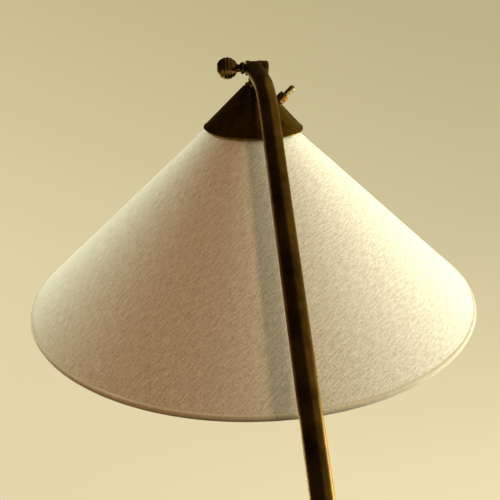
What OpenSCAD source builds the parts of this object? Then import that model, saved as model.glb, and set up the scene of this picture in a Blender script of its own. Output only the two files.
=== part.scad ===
// Bridge floor lamp: a bent brass stem on a weighted round foot, with a wide
// linen cone hung from a clamped knuckle at its top.
// Millimetres. The origin is the centre of the foot's underside, +Z is up,
// +Y points the way the shade reaches, and +X is to the right from behind.

/* [Stance] */
// Height of the knuckle's pin above the floor
pivot_height = 1380; // [1250:5:1550]
// Lean of the upper stem from the vertical, in degrees
stem_lean = 20; // [14:1:24]
// Further bend near the top of the stem, in degrees
top_bend = 35; // [30:1:40]
// Lean of the shade's axis from straight down, in degrees
shade_tilt = 31.5; // [28:0.5:40]

/* [Stem] */
// Outer diameter of the stem
stem_d = 16; // [15:0.5:18]
// Wall of the stem
stem_wall = 1.2; // [1:0.1:1.5]
// Radius of the long low bend, on the stem's centre line
low_bend_r = 600; // [400:10:700]
// Length of the leaning straight
lean_len = 620; // [500:5:680]
// Radius of the short bend at the top, on the stem's centre line
top_bend_r = 70; // [60:1:85]
// Length of the straight between the top bend and the fork
nose_len = 40; // [34:1:50]

/* [Foot] */
// Diameter of the foot
foot_d = 280; // [240:2:320]
// Slope of the foot's top, in degrees
foot_crown = 6.5; // [5:0.5:8]
// Radius of the foot's outer shoulder
foot_shoulder = 7; // [5:0.5:9]
// Height at which the shoulder's arc is centred
foot_edge_h = 9; // [8:0.5:12]
// Wall of the spun foot cover
cover_wall = 1.2; // [0.8:0.1:1.6]
// Height of the cover's lower edge above the floor
cover_lift = 2.2; // [1.5:0.1:2.6]
// Thickness of the felt under the foot
felt_t = 3; // [2.8:0.1:4]
// Diameter of the flat land that the stem stands on
hub_land_d = 50; // [44:1:60]
// Diameter of the recess under the weight
recess_d = 44; // [40:1:50]
// Depth of the recess under the weight
recess_h = 19; // [17:0.5:20]
// Diameter of the threaded shank that holds the stem down
shank_d = 12; // [11:0.5:13]
// Length of the plug inside the stem
plug_len = 30; // [20:1:40]
// Diameter of the ring round the stem's foot
collar_d = 34; // [30:1:40]
// Height of the ring round the stem's foot
collar_h = 9; // [7:0.5:12]
// Outer diameter of the washer under the weight
base_washer_d = 32; // [28:1:36]
// Thickness of the washer under the weight
base_washer_t = 2.5; // [2:0.25:3]
// Width across flats of the nut under the weight
base_nut_af = 19; // [18:0.5:22]
// Thickness of the nut under the weight
base_nut_t = 5; // [4:0.5:5.5]
// Bore of the rubber bush where a mains lead enters the foot
inlet_bore_d = 5.6; // [5.2:0.1:6]
// Outer diameter of the rubber bush
inlet_d = 8.4; // [8:0.2:8.8]
// Diameter of the lead inside the stem
lead_d = 5; // [4:0.25:5.2]

/* [Knuckle] */
// Distance from the knuckle's pin to the end of the stem
fork_reach = 14; // [13:0.5:16]
// Diameter of the fork's two cheeks
cheek_d = 13.5; // [13:0.25:14.5]
// Width over the fork's two cheeks
fork_w = 15; // [14.4:0.2:15.6]
// Width of the slot between the cheeks
slot_w = 7.4; // [7.2:0.1:7.8]
// Depth of the slot behind the pin
slot_depth = 7.8; // [7.6:0.1:8.4]
// Length of the fork's spigot inside the stem
spigot_len = 18; // [12:1:24]
// Diameter of the eye that turns in the fork
eye_d = 12.5; // [12:0.25:13]
// Thickness of the eye
eye_w = 6; // [5.6:0.1:6]
// Width of the eye's neck, across the pin
neck_w = 8.6; // [8:0.2:9]
// Diameter of the clamp screw
screw_d = 5; // [4.5:0.25:5.5]
// Thickness of each friction washer
friction_t = 0.55; // [0.4:0.05:0.6]
// Diameter of the round nut on the fork's right cheek
end_nut_d = 13; // [12:0.25:13.5]
// Thickness of the round nut
end_nut_t = 6; // [5.5:0.25:7]
// Diameter of the bead between the fork and the knob
bead_d = 11; // [10:0.25:12]
// Length of the bead
bead_len = 6; // [5:0.25:7]
// Diameter of the clamp knob
knob_d = 20; // [19:0.5:22]
// Length of the clamp knob
knob_len = 20.3; // [19.5:0.1:21]
// Diameter of the clamp knob's neck
knob_neck_d = 7.2; // [7:0.1:8]
// Number of grooves turned round the knob
knob_grooves = 4; // [3:1:4]
// Distance from one groove to the next
groove_pitch = 3.1; // [2.8:0.1:3.3]
// Depth of each groove
groove_depth = 0.6; // [0.4:0.1:0.8]

/* [Cap] */
// Diameter of the brass cap's lower rim
cap_d = 95; // [90:1:100]
// Diameter of the brass cap's flat top
cap_top_d = 20; // [19:0.5:22]
// Height of the brass cap
cap_h = 38.5; // [38:0.5:42]
// Wall of the brass cap
cap_wall = 1; // [0.8:0.1:1.2]
// Diameter of the rolled bead round the cap's rim
cap_bead_d = 2.4; // [2:0.1:3]
// Distance from the pin down to the cap's top
cap_drop = 16.5; // [16:0.5:18]
// Outer diameter of the threaded tube through the cap
nipple_d = 10; // [9:0.5:10.5]
// Bore of the threaded tube
nipple_bore_d = 6; // [5.5:0.25:6.5]
// Distance from the pin down to where the threaded tube starts
nipple_drop = 9; // [8.5:0.5:10]
// Width across flats of the thin nuts on the threaded tube
cap_nut_af = 14; // [13:0.5:15]
// Thickness of the thin nuts
cap_nut_t = 3; // [2.5:0.25:3.5]
// Outer diameter of the washer under the cap's top
cap_washer_d = 18; // [16:0.5:19]
// Thickness of that washer
cap_washer_t = 1; // [0.8:0.1:1.2]

/* [Shade] */
// Diameter of the linen cone at its hem
shade_d = 450; // [400:5:480]
// Diameter of the linen cone at its top
shade_top_d = 72; // [70:1:75]
// Height of the linen cone along its axis
shade_h = 175; // [160:1:190]
// Distance from the pin down to the cone's top edge
shade_drop = 50.5; // [49:0.5:51]
// How far the cone sits to the left of the cap's axis
shade_shift = 4; // [0:0.25:4.5]
// How much the cone leans to one side on its carrier, in degrees
shade_askew = 1.5; // [0:0.25:2]
// Thickness of the linen
cloth_t = 0.6; // [0.4:0.1:1]
// Thickness of the stiff lining behind the linen
liner_t = 0.4; // [0.3:0.1:0.6]
// Diameter of the wire ring in the top edge
top_wire_d = 3.2; // [3:0.1:3.6]
// Diameter of the wire ring in the hem
hem_wire_d = 3.5; // [3:0.25:4]
// Width of the bindings over the top edge and the hem
binding_w = 4; // [3:0.5:6]
// Thickness of the bindings
binding_t = 0.5; // [0.4:0.1:0.8]
// Diameter of the carrier's three arms
arm_d = 2.6; // [2.2:0.1:2.8]
// Outer diameter of the carrier's flat hub
hub_d = 63; // [60:1:64]
// Thickness of the carrier's flat hub
hub_t = 1.5; // [1.2:0.1:2]

/* [Lampholder and bulb] */
// Distance from the pin down to the lampholder's top
holder_drop = 42; // [41:0.5:46]
// Outer diameter of the lampholder
holder_d = 40; // [38:0.5:42]
// Diameter of the lampholder's threaded neck
holder_neck_d = 16; // [15:0.5:17]
// Height of the neck
holder_neck_h = 4; // [3:0.5:5]
// Height of the sloping shoulder
holder_shoulder_h = 10; // [9:0.5:12]
// Height of the upper shell's straight wall
holder_wall_h = 10; // [8:0.5:12]
// Length of the threaded skirt below the upper shell
skirt_len = 27; // [26:0.5:30]
// Wall of the lampholder's shells
holder_wall = 1.5; // [1.2:0.1:1.8]
// Outer diameter of the two shade rings
shade_ring_d = 52; // [50:1:54]
// Thickness of each shade ring
shade_ring_t = 4; // [3:0.5:5]
// Distance from the upper shell to the upper shade ring
shade_ring_drop = 6; // [5:0.5:7]
// Diameter of the bulb
bulb_d = 60; // [55:1:62]
// Length of the bulb without its screw cap
bulb_len = 79; // [74:1:84]
// Diameter of the bulb's screw cap
bulb_cap_d = 26.4; // [26:0.2:26.6]
// Length of the bulb's screw cap
bulb_cap_len = 21; // [20:0.5:22]
// Wall of the bulb's glass
glass_t = 0.8; // [0.6:0.1:1]

/* [Switch] */
// Distance of the switch from the cap's axis
switch_r = 24; // [22:0.2:25]
// Turn of the switch round the cap from its right side, in degrees
switch_turn = 1; // [-10:1:10]
// Outer diameter of the switch's collar
bush_d = 10; // [9.5:0.25:11]
// Height of the collar above the cap
bush_h = 8.5; // [7.5:0.25:9.5]
// Diameter of the bush's thread
bush_thread_d = 8; // [7.8:0.1:8.4]
// Length of the bush's thread below the collar
bush_thread_len = 8; // [7:0.5:9]
// Width across flats of the switch's nut
switch_nut_af = 11; // [10:0.5:12]
// Thickness of the switch's nut
switch_nut_t = 2; // [1.5:0.25:2.5]
// Diameter of the switch's body
switch_body_d = 12; // [11:0.25:12.5]
// Length of the switch's body
switch_body_len = 9.3; // [8.5:0.1:9.6]
// Diameter of the lever's tip
lever_d = 6; // [5.4:0.1:6.2]
// Length of the lever from its pivot to its tip
lever_len = 17; // [14:0.5:18]
// Tilt of the lever to either side of the bush's axis, along the cap's round, in degrees
lever_tilt = 8; // [6:0.5:9]

/* [Clearances] */
// Gap round a turning shaft
run_gap = 0.05; // [0.03:0.01:0.09]
// Gap between pieces that are soldered, screwed or glued
fit_gap = 0.05; // [0.02:0.01:0.1]
// Gap between pieces that lie loosely on each other
loose_gap = 0.3; // [0.2:0.05:0.4]

/* [Hidden] */
$fn = 96;

brass = "#8a6a34";
dark_brass = "#4d3a1c";
linen = "#cfc6b4";
steel = "#9a9c9e";

// The path of the stem's centre line, which lies in the plane x = 0
nose_angle = stem_lean + top_bend;
low_rise = low_bend_r*sin(stem_lean);
low_run = low_bend_r*(1 - cos(stem_lean));
lean_rise = lean_len*cos(stem_lean);
lean_run = lean_len*sin(stem_lean);
top_rise = top_bend_r*(sin(nose_angle) - sin(stem_lean));
top_run = top_bend_r*(cos(stem_lean) - cos(nose_angle));
nose_rise = nose_len*cos(nose_angle);
nose_run = nose_len*sin(nose_angle);
fork_rise = fork_reach*cos(nose_angle);
fork_run = fork_reach*sin(nose_angle);
pivot_y = low_run + lean_run + top_run + nose_run + fork_run;

// The foot
foot_r = foot_d/2;
cover_gap = 0.5;
land_r = hub_land_d/2;
cover_top_z = crown_z(foot_shoulder, land_r);
cover_in_z = cover_top_z - cover_wall;
weight_r = foot_r - cover_wall - cover_gap;
recess_z = felt_t + recess_h;
stem_bore_d = stem_d - 2*stem_wall;
bend_swell = 0.05;
lap = 0.3;
lead_short = 8;
shank_bore_d = lead_d + 1.2;
shank_end_z = recess_z - base_washer_t - base_nut_t - 0.5;
lead_z = cover_lift + inlet_d/2 + 1.2;
lead_turn_r = shank_end_z - lead_z - 0.3;
groove_w = inlet_d + 3;
groove_h = lead_z + inlet_d/2 + 1.4 - felt_t;
upright_len = pivot_height - cover_top_z - low_rise - lean_rise - top_rise - nose_rise - fork_rise;

// The knuckle, measured along X from the pin's middle
cheek_x = fork_w/2;
eye_gap = (slot_w - eye_w - 2*friction_t)/4;
bead_x = cheek_x + run_gap;
knob_x = bead_x + bead_len + fit_gap;
shank_bore = screw_d + 2*run_gap;

// The cap, measured down from the pin along the head's axis
cap_slope = atan((cap_d - cap_top_d)/2/cap_h);
cap_rim_z = -cap_drop - cap_h;
under_nut_z = -cap_drop - cap_wall - cap_washer_t - cap_nut_t;
nipple_end_z = -holder_drop - holder_neck_h - 1.5;

// The linen cone, measured from the centre of its top edge
cone_slope = atan((shade_d - shade_top_d)/2/shade_h);
down_slope = [sin(cone_slope), -cos(cone_slope)];
outward = [cos(cone_slope), sin(cone_slope)];
top_edge = [shade_top_d/2, 0];
hem_edge = [shade_d/2, -shade_h];
laminate_t = cloth_t + fit_gap + liner_t;
top_wire_at = top_edge - (laminate_t + fit_gap + top_wire_d/2)*outward + top_wire_d/2*down_slope;
hem_wire_at = hem_edge - (laminate_t + fit_gap + hem_wire_d/2)*outward - hem_wire_d/2*down_slope;

// The lampholder and bulb, measured down from the pin
shell_end_z = -holder_drop - holder_neck_h - holder_shoulder_h - holder_wall_h;
skirt_end_z = shell_end_z - skirt_len;
skirt_r = holder_d/2 - 0.5;
upper_ring_z = shell_end_z - shade_ring_drop - shade_ring_t;
hub_z = upper_ring_z - fit_gap - hub_t;
lower_ring_z = hub_z - fit_gap - shade_ring_t;
core_h = 9;
core_z = shell_end_z - 1;
core_r = holder_d/2 - 2*holder_wall - 0.6;
tip_z = core_z - 3;
bulb_cap_top_z = tip_z - 3.5;
bulb_cap_end_z = bulb_cap_top_z - bulb_cap_len;
bulb_mid_z = bulb_cap_end_z - bulb_len + bulb_d/2;
thread_shell_r = bulb_cap_d/2 + 0.3;

// The switch, in a frame whose +Z is the cap's outward normal
cap_apex_drop = cap_drop - cap_top_d/2/tan(cap_slope);
switch_drop = cap_apex_drop + switch_r/tan(cap_slope);
lever_ball_d = 6.2;
lever_pivot_h = 3;
bush_bore_d = lever_ball_d + 0.2;
bush_mouth_d = 8.8;
nut_seat = cap_wall + 0.65;
body_top = nut_seat + switch_nut_t + fit_gap;
terminal_len = 3;
wire_d = 1.8;

// Height of the foot's crown at radius r, when the shoulder's arc has radius s
function crown_z(s, r) = felt_t + foot_edge_h + s*cos(foot_crown)
    + (foot_r - foot_shoulder + s*sin(foot_crown) - r)*tan(foot_crown);

// Points of the foot's shoulder, from its outer side up to the crown
function shoulder(s) = [for (i = [0:8]) let (a = i/8*(90 - foot_crown))
    [foot_r - foot_shoulder + s*cos(a), felt_t + foot_edge_h + s*sin(a)]];

// A point of the cone's own frame, in the frame of the head
function from_seat(p) = [p[0]*cos(shade_askew) - p[2]*sin(shade_askew) - shade_shift,
    p[1], p[0]*sin(shade_askew) + p[2]*cos(shade_askew) - shade_drop];

// The head's frame: the pin's middle, with -Z along the shade's axis
module on_head() translate([0, pivot_y, pivot_height]) rotate([shade_tilt, 0, 0]) children();

// The linen cone's frame: the centre of its top edge
module on_seat() on_head() translate([-shade_shift, 0, -shade_drop])
    rotate([0, -shade_askew, 0]) children();

// The switch's frame: the middle of its hole, on the cap's outside
module on_cap() on_head() rotate([0, 0, switch_turn]) translate([switch_r, 0, -switch_drop])
    rotate([0, 90 - cap_slope, 0]) children();

// The fork's frame: the pin's middle, with +Z along the stem's last straight
module on_fork() translate([0, pivot_y, pivot_height]) rotate([-nose_angle, 0, 0]) children();

// A frame at the pin's middle, with +Z along the pin to the right
module on_pin() translate([0, pivot_y, pivot_height]) rotate([0, 90, 0]) children();

module hollow(h, d_out, d_in) difference() {
    cylinder(h = h, d = d_out);
    translate([0, 0, -1]) cylinder(h = h + 2, d = d_in);
}

module hex_nut(h, flats, bore) difference() {
    cylinder(h = h, d = flats/cos(30), $fn = 6);
    translate([0, 0, -1]) cylinder(h = h + 2, d = bore);
}

// A straight rod between two points
module rod(p, q, d) {
    v = q - p;
    translate(p) rotate([0, acos(v[2]/norm(v)), atan2(v[1], v[0])]) cylinder(h = norm(v), d = d);
}

// A round bar that sets out along +Z and bends by a towards +Y. It is a hair thicker than the
// straight lengths, which run a short lap into it.
module bend(r, a, d) translate([0, r, 0]) rotate([90, 0, -90])
    rotate_extrude(angle = a, $fn = 180) translate([r, 0]) circle(d = d + 2*bend_swell);

// The frame at the far end of such a bend
module past_bend(r, a) translate([0, r, 0]) rotate([-a, 0, 0]) translate([0, -r, 0]) children();

// A round bar along the stem's centre line, run on at its two ends
module stem_path(d, below, above) translate([0, 0, cover_top_z]) {
    translate([0, 0, -below]) cylinder(h = upright_len + below + lap, d = d);
    translate([0, 0, upright_len]) {
        bend(low_bend_r, stem_lean, d);
        past_bend(low_bend_r, stem_lean) {
            translate([0, 0, -lap]) cylinder(h = lean_len + 2*lap, d = d);
            translate([0, 0, lean_len]) {
                bend(top_bend_r, top_bend, d);
                past_bend(top_bend_r, top_bend) translate([0, 0, -lap])
                    cylinder(h = nose_len + above + lap, d = d);
            }
        }
    }
}

// Foot

module felt_pad() color("#3b4a3c") cylinder(h = felt_t, r = weight_r - 2, $fn = 180);

module base_weight() color("#3a3a3c") difference() {
    rotate_extrude($fn = 180) polygon(concat(
        [[0, felt_t], [weight_r, felt_t]],
        shoulder(foot_shoulder - cover_wall - cover_gap),
        [[land_r + 1, crown_z(foot_shoulder - cover_wall - cover_gap, land_r + 1)],
         [land_r - 1, cover_in_z], [0, cover_in_z]]));
    translate([0, 0, felt_t - 1]) cylinder(h = 60, d = shank_d + 2*loose_gap);
    translate([0, 0, felt_t - 1]) cylinder(h = recess_h + 1, d = recess_d);
    translate([-groove_w/2, -foot_r, felt_t - 1]) cube([groove_w, foot_r, groove_h + 1]);
}

module base_cover() color(dark_brass) difference() {
    rotate_extrude($fn = 180) polygon(concat(
        [[foot_r - cover_wall, cover_lift], [foot_r, cover_lift]],
        shoulder(foot_shoulder),
        [[land_r, cover_top_z], [0, cover_top_z], [0, cover_in_z], [land_r, cover_in_z]],
        [for (i = [8:-1:0]) shoulder(foot_shoulder - cover_wall)[i]]));
    translate([0, 0, -1]) cylinder(h = 60, d = shank_d + 2*loose_gap);
    translate([0, -foot_r + 20, lead_z]) rotate([90, 0, 0]) cylinder(h = 30, d = inlet_d);
}

module inlet_bush() color("#1d1c1a") translate([0, -foot_r, lead_z]) rotate([90, 0, 0])
    difference() {
        rotate_extrude() polygon([
            [0, -cover_wall - 1.6], [inlet_d/2 + 1, -cover_wall - 1.6],
            [inlet_d/2 + 1, -cover_wall - 0.4], [inlet_d/2 - fit_gap, -cover_wall - 0.4],
            [inlet_d/2 - fit_gap, 0.4], [inlet_d/2 + 1, 0.4], [inlet_d/2 + 0.6, 1.6], [0, 1.6]]);
        translate([0, 0, -10]) cylinder(h = 20, d = inlet_bore_d);
    }

module stem_plug() color(brass) difference() {
    union() {
        translate([0, 0, cover_top_z + fit_gap]) cylinder(h = plug_len, d = stem_bore_d - 2*fit_gap);
        translate([0, 0, shank_end_z]) cylinder(h = cover_top_z + 1 - shank_end_z, d = shank_d);
    }
    cylinder(h = cover_top_z + plug_len + 10, d = shank_bore_d);
}

module base_washer() color(steel) translate([0, 0, recess_z - base_washer_t])
    hollow(base_washer_t, base_washer_d, shank_d + 2*fit_gap);

module base_nut() color(steel) translate([0, 0, recess_z - base_washer_t - base_nut_t])
    hex_nut(base_nut_t, base_nut_af, shank_d + 2*fit_gap);

module stem_collar() color(brass) translate([0, 0, cover_top_z]) difference() {
    rotate_extrude() polygon([
        [0, 0], [collar_d/2, 0], [collar_d/2, 2], [collar_d/2 - 1, 3], [collar_d/2 - 3, 3.6],
        [collar_d/2 - 5, collar_h - 1.2], [collar_d/2 - 5.8, collar_h], [0, collar_h]]);
    translate([0, 0, -1]) cylinder(h = collar_h + 2, d = stem_d + 2*fit_gap);
}

// Stem

module stem() color(dark_brass) difference() {
    stem_path(stem_d, 0, 0);
    stem_path(stem_bore_d, 1, 1);
}

module stem_lead() color("#2a2724") {
    stem_path(lead_d, cover_top_z - lead_z - lead_turn_r + lap, fork_reach - slot_depth - 0.5);
    translate([0, 0, lead_z + lead_turn_r]) rotate([180, 0, 0]) {
        bend(lead_turn_r, 90, lead_d);
        past_bend(lead_turn_r, 90) translate([0, 0, -lap])
            cylinder(h = foot_r - cover_wall - lead_short - lead_turn_r + lap, d = lead_d);
    }
}

// Knuckle, on the stem's side

module fork() color(dark_brass) on_fork() difference() {
    union() {
        translate([-cheek_x, 0, 0]) rotate([0, 90, 0]) cylinder(h = fork_w, d = cheek_d);
        intersection() {
            translate([0, 0, -fork_reach + fit_gap])
                cylinder(h = fork_reach - fit_gap, d1 = stem_d, d2 = cheek_d);
            translate([-cheek_x, -stem_d, -fork_reach]) cube([fork_w, 2*stem_d, fork_reach]);
        }
        translate([0, 0, -fork_reach + fit_gap]) cylinder(h = 2, d = stem_d);
        translate([0, 0, -fork_reach - spigot_len])
            cylinder(h = spigot_len + 1, d = stem_bore_d - 2*fit_gap);
    }
    translate([-slot_w/2, -stem_d, -slot_depth]) cube([slot_w, 2*stem_d, 3*slot_depth]);
    translate([-fork_w, 0, 0]) rotate([0, 90, 0]) cylinder(h = 2*fork_w, d = shank_bore);
    translate([0, 0, -fork_reach - spigot_len - 1])
        cylinder(h = spigot_len + fork_reach, d = lead_d + 0.6);
}

module friction_washers() color("#6b2e22") on_pin()
    for (z = [eye_w/2 + 2*eye_gap, -eye_w/2 - 2*eye_gap - friction_t])
        translate([0, 0, z]) hollow(friction_t, eye_d, shank_bore);

module end_nut() color(brass) on_pin() translate([0, 0, cheek_x + fit_gap]) difference() {
    rotate_extrude() polygon(concat(
        [[0, 0], [end_nut_d/2 - 0.4, 0], [end_nut_d/2, 0.4]],
        [for (a = [0:15:90]) [end_nut_d/2 - 2*(1 - cos(a)), end_nut_t - 2*(1 - sin(a))]],
        [[0, end_nut_t]]));
    translate([0, 0, -1]) cylinder(h = end_nut_t, d = shank_bore);
}

// Clamp screw

module clamp_screw() color(brass) on_pin() translate([0, 0, -knob_x - 3])
    cylinder(h = knob_x + 3 + cheek_x + end_nut_t - 1.4, d = screw_d);

module clamp_bead() color(dark_brass) on_pin() translate([0, 0, -bead_x]) mirror([0, 0, 1])
    difference() {
        rotate_extrude() polygon(concat([[0, 0]],
            [for (a = [-60:12:60]) [bead_d/2*cos(a), bead_len/2*(1 + sin(a)/sin(60))]],
            [[0, bead_len]]));
        translate([0, 0, -1]) cylinder(h = bead_len + 2, d = screw_d + 2*fit_gap);
    }

// The knob is a ball on a short neck, cut flat at its end
knob_mid = knob_len - 0.91*knob_d/2;
groove_z = knob_mid - 0.45 - (knob_grooves - 1)/2*groove_pitch;

// How deep the grooves reach at a height z above the knob's neck
function groove_cut(z) = abs(z - knob_mid + 0.45) > knob_grooves/2*groove_pitch ? 0
    : groove_depth*(1 + cos(360*(z - groove_z)/groove_pitch))/2;

// Radius of the knob at a height z above its neck
function knob_r(z) = max(knob_neck_d/2,
    sqrt(max(0, pow(knob_d/2, 2) - pow(z - knob_mid, 2))) - groove_cut(z));

module clamp_knob() color(dark_brass) on_pin() translate([0, 0, -knob_x]) mirror([0, 0, 1])
    difference() {
        rotate_extrude() polygon(concat([[0, 0]],
            [for (i = [0:60]) [knob_r(knob_len*i/60), knob_len*i/60]], [[0, knob_len - 0.5]]));
        translate([0, 0, -1]) cylinder(h = 4.05 + fit_gap, d = screw_d + 2*fit_gap);
    }

// Head

module pivot_eye() color(dark_brass) on_head() difference() {
    union() {
        translate([-eye_w/2, 0, 0]) rotate([0, 90, 0]) cylinder(h = eye_w, d = eye_d);
        translate([-eye_w/2, -neck_w/2, -nipple_drop]) cube([eye_w, neck_w, nipple_drop]);
        translate([0, 0, nipple_end_z]) cylinder(h = -nipple_end_z - nipple_drop, d = nipple_d);
    }
    translate([-eye_w, 0, 0]) rotate([0, 90, 0]) cylinder(h = 2*eye_w, d = shank_bore);
    translate([0, 0, nipple_end_z - 1])
        cylinder(h = -nipple_end_z - nipple_drop, d = nipple_bore_d);
}

module cap_lock_nut() color(dark_brass) on_head() translate([0, 0, -cap_drop + fit_gap])
    hex_nut(cap_nut_t, cap_nut_af, nipple_d + 2*fit_gap);

module cap_washer() color(steel) on_head()
    translate([0, 0, -cap_drop - cap_wall - cap_washer_t - fit_gap])
        hollow(cap_washer_t, cap_washer_d - 1, nipple_d + 2*fit_gap);

module cap_under_nut() color(steel) on_head() translate([0, 0, under_nut_z - 2*fit_gap])
    hex_nut(cap_nut_t, cap_nut_af, nipple_d + 2*fit_gap);

module cone_cap() color(brass) difference() {
    on_head() {
        difference() {
            rotate_extrude($fn = 180) polygon([
                [0, -cap_drop], [cap_top_d/2, -cap_drop], [cap_d/2, cap_rim_z],
                [cap_d/2 - cap_wall/cos(cap_slope), cap_rim_z],
                [cap_top_d/2 - 0.4*cap_wall, -cap_drop - cap_wall], [0, -cap_drop - cap_wall]]);
            translate([0, 0, -cap_drop - 5]) cylinder(h = 10, d = nipple_d + 2*fit_gap);
        }
        rotate_extrude($fn = 180) translate([cap_d/2 - cap_bead_d/2, cap_rim_z])
            circle(d = cap_bead_d, $fn = 24);
    }
    on_cap() translate([0, 0, -8]) cylinder(h = 16, d = bush_thread_d + 2*fit_gap);
}

// Lampholder

module holder_shell() color("#b9a06a") on_head() difference() {
    rotate_extrude() polygon([
        [0, -holder_drop], [holder_neck_d/2, -holder_drop],
        [holder_neck_d/2, -holder_drop - holder_neck_h],
        [holder_d/2, -holder_drop - holder_neck_h - holder_shoulder_h],
        [holder_d/2, shell_end_z], [holder_d/2 - holder_wall, shell_end_z],
        [holder_d/2 - holder_wall, -holder_drop - holder_neck_h - holder_shoulder_h - 0.8],
        [holder_neck_d/2, -holder_drop - holder_neck_h - 2.2],
        [0, -holder_drop - holder_neck_h - 2.2]]);
    translate([0, 0, -holder_drop - 20]) cylinder(h = 30, d = nipple_d + 2*fit_gap);
    for (s = [-1, 1]) rotate([0, 0, switch_turn]) translate([wire_r(), s*wire_y, -60])
        cylinder(h = 30, d = wire_d + 2*fit_gap, $fn = 24);
}

module holder_core() color("#e9e6dc") on_head() difference() {
    translate([0, 0, core_z]) cylinder(h = core_h, r = core_r);
    translate([0, 0, core_z + core_h - 3]) cylinder(h = 4, r = 4);
}

module holder_contacts() color("#b87333") on_head() {
    translate([0, 0, core_z - fit_gap - 22]) hollow(22, 2*thread_shell_r + 1.2, 2*thread_shell_r);
    translate([0, 0, tip_z + fit_gap]) cylinder(h = core_z - tip_z - 2*fit_gap, d = 6);
}

module holder_skirt() color("#b9a06a") on_head() rotate_extrude() polygon([
    [core_r + fit_gap, shell_end_z + 6], [holder_d/2 - holder_wall - fit_gap, shell_end_z + 6],
    [holder_d/2 - holder_wall - fit_gap, shell_end_z - fit_gap], [skirt_r, shell_end_z - fit_gap],
    [skirt_r, skirt_end_z], [skirt_r - holder_wall, skirt_end_z],
    [skirt_r - holder_wall, shell_end_z - 3], [core_r + fit_gap, shell_end_z - 3]]);

module holder_leads() color("#8c2f22") on_head() for (s = [-1, 1]) translate([s*1.3, 0, 0])
    translate([0, 0, core_z + core_h - 3 + fit_gap])
        cylinder(h = -nipple_drop - 2 - core_z - core_h + 3, d = wire_d, $fn = 24);

module shade_rings() color("#b9a06a") on_head() for (z = [upper_ring_z, lower_ring_z])
    translate([0, 0, z]) difference() {
        rotate_extrude() polygon([
            [0, 0], [shade_ring_d/2 - 0.6, 0], [shade_ring_d/2, 0.6],
            [shade_ring_d/2, shade_ring_t - 0.6], [shade_ring_d/2 - 0.6, shade_ring_t],
            [0, shade_ring_t]]);
        translate([0, 0, -1]) cylinder(h = shade_ring_t + 2, r = skirt_r + fit_gap);
    }

// Shade

module shade_carrier() color(steel) {
    on_head() {
        translate([0, 0, hub_z]) hollow(hub_t, hub_d, 2*skirt_r + 2*fit_gap);
        for (k = [0:2]) let (a = 90 + 120*k)
            rod([(hub_d/2 - arm_d/2)*cos(a), (hub_d/2 - arm_d/2)*sin(a), hub_z + hub_t/2],
                from_seat([top_wire_at[0]*cos(a), top_wire_at[0]*sin(a), top_wire_at[1]]), arm_d);
    }
    on_seat() rotate_extrude($fn = 120) translate(top_wire_at) circle(d = top_wire_d, $fn = 24);
}

module hem_wire() color(steel) on_seat()
    rotate_extrude($fn = 180) translate(hem_wire_at) circle(d = hem_wire_d, $fn = 24);

// A layer of the cone's wall, between two depths behind the linen's face
module cone_layer(near, far) rotate_extrude($fn = 180) polygon([
    top_edge - near*outward, hem_edge - near*outward,
    hem_edge - far*outward, top_edge - far*outward]);

module shade_cloth() color(linen) on_seat() cone_layer(0, cloth_t);

module shade_liner() color("#f2efe6") on_seat() cone_layer(cloth_t + fit_gap, laminate_t);

// A binding folded over an edge: a band on the outside and a lip over the wire.
// way is 1 at the hem and -1 at the top edge.
module binding(edge, way, wire) rotate_extrude($fn = 180) polygon([
    for (q = [[fit_gap, -binding_w], [fit_gap + binding_t, -binding_w],
              [fit_gap + binding_t, loose_gap + binding_t],
              [-laminate_t - wire, loose_gap + binding_t],
              [-laminate_t - wire, loose_gap], [fit_gap, loose_gap]])
        edge + q[0]*outward + way*q[1]*down_slope]);

module top_binding() color(linen) on_seat() binding(top_edge, -1, top_wire_d);

module hem_binding() color(linen) on_seat() binding(hem_edge, 1, hem_wire_d);

// Bulb

bulb_neck_r = bulb_cap_d/2 - 0.6;
shoulder_a = 21;

// Outline of the glass at a depth g inside its outer face
function glass_line(g) = concat(
    [[bulb_neck_r - g, bulb_cap_end_z + 3], [bulb_neck_r - g, bulb_cap_end_z]],
    [for (i = [0:24]) let (a = shoulder_a - (90 + shoulder_a)*i/24)
        [(bulb_d/2 - g)*cos(a), bulb_mid_z + (bulb_d/2 - g)*sin(a)]]);

module bulb_glass() color("#fbf6ea") on_head() rotate_extrude() polygon(concat(
    glass_line(0), [for (i = [26:-1:0]) glass_line(glass_t)[i]]));

module bulb_cap() color(steel) on_head() rotate_extrude() polygon([
    [bulb_cap_d/2, bulb_cap_end_z], [bulb_cap_d/2, bulb_cap_top_z],
    [5.4, bulb_cap_top_z + 2.4], [5.4, bulb_cap_top_z + 1.8],
    [bulb_cap_d/2 - 0.5, bulb_cap_top_z - 0.6], [bulb_cap_d/2 - 0.5, bulb_cap_end_z]]);

module bulb_contact() color("#20201f") on_head() translate([0, 0, bulb_cap_top_z + 1.6])
    cylinder(h = tip_z - bulb_cap_top_z - 1.6 - fit_gap, r = 5.3);

// Switch

wire_y = 2.6;
terminal_z = -body_top - switch_body_len;
// Where the switch's terminals end, measured from the head's axis
function wire_r() = switch_r + (terminal_z - terminal_len)*cos(cap_slope) + 0.5;
function wire_z() = -switch_drop + (terminal_z - terminal_len)*sin(cap_slope);

module switch_bush() color(brass) on_cap() difference() {
    union() {
        translate([0, 0, fit_gap]) cylinder(h = bush_h, d = bush_d);
        translate([0, 0, -bush_thread_len]) cylinder(h = bush_thread_len + 1, d = bush_thread_d);
    }
    translate([0, 0, -bush_thread_len - 1]) cylinder(h = 40, d = bush_bore_d);
    translate([0, 0, lever_pivot_h + 1.2])
        cylinder(h = bush_h + fit_gap - lever_pivot_h - 1.2 + 0.01, d1 = bush_bore_d, d2 = bush_mouth_d);
}

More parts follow.
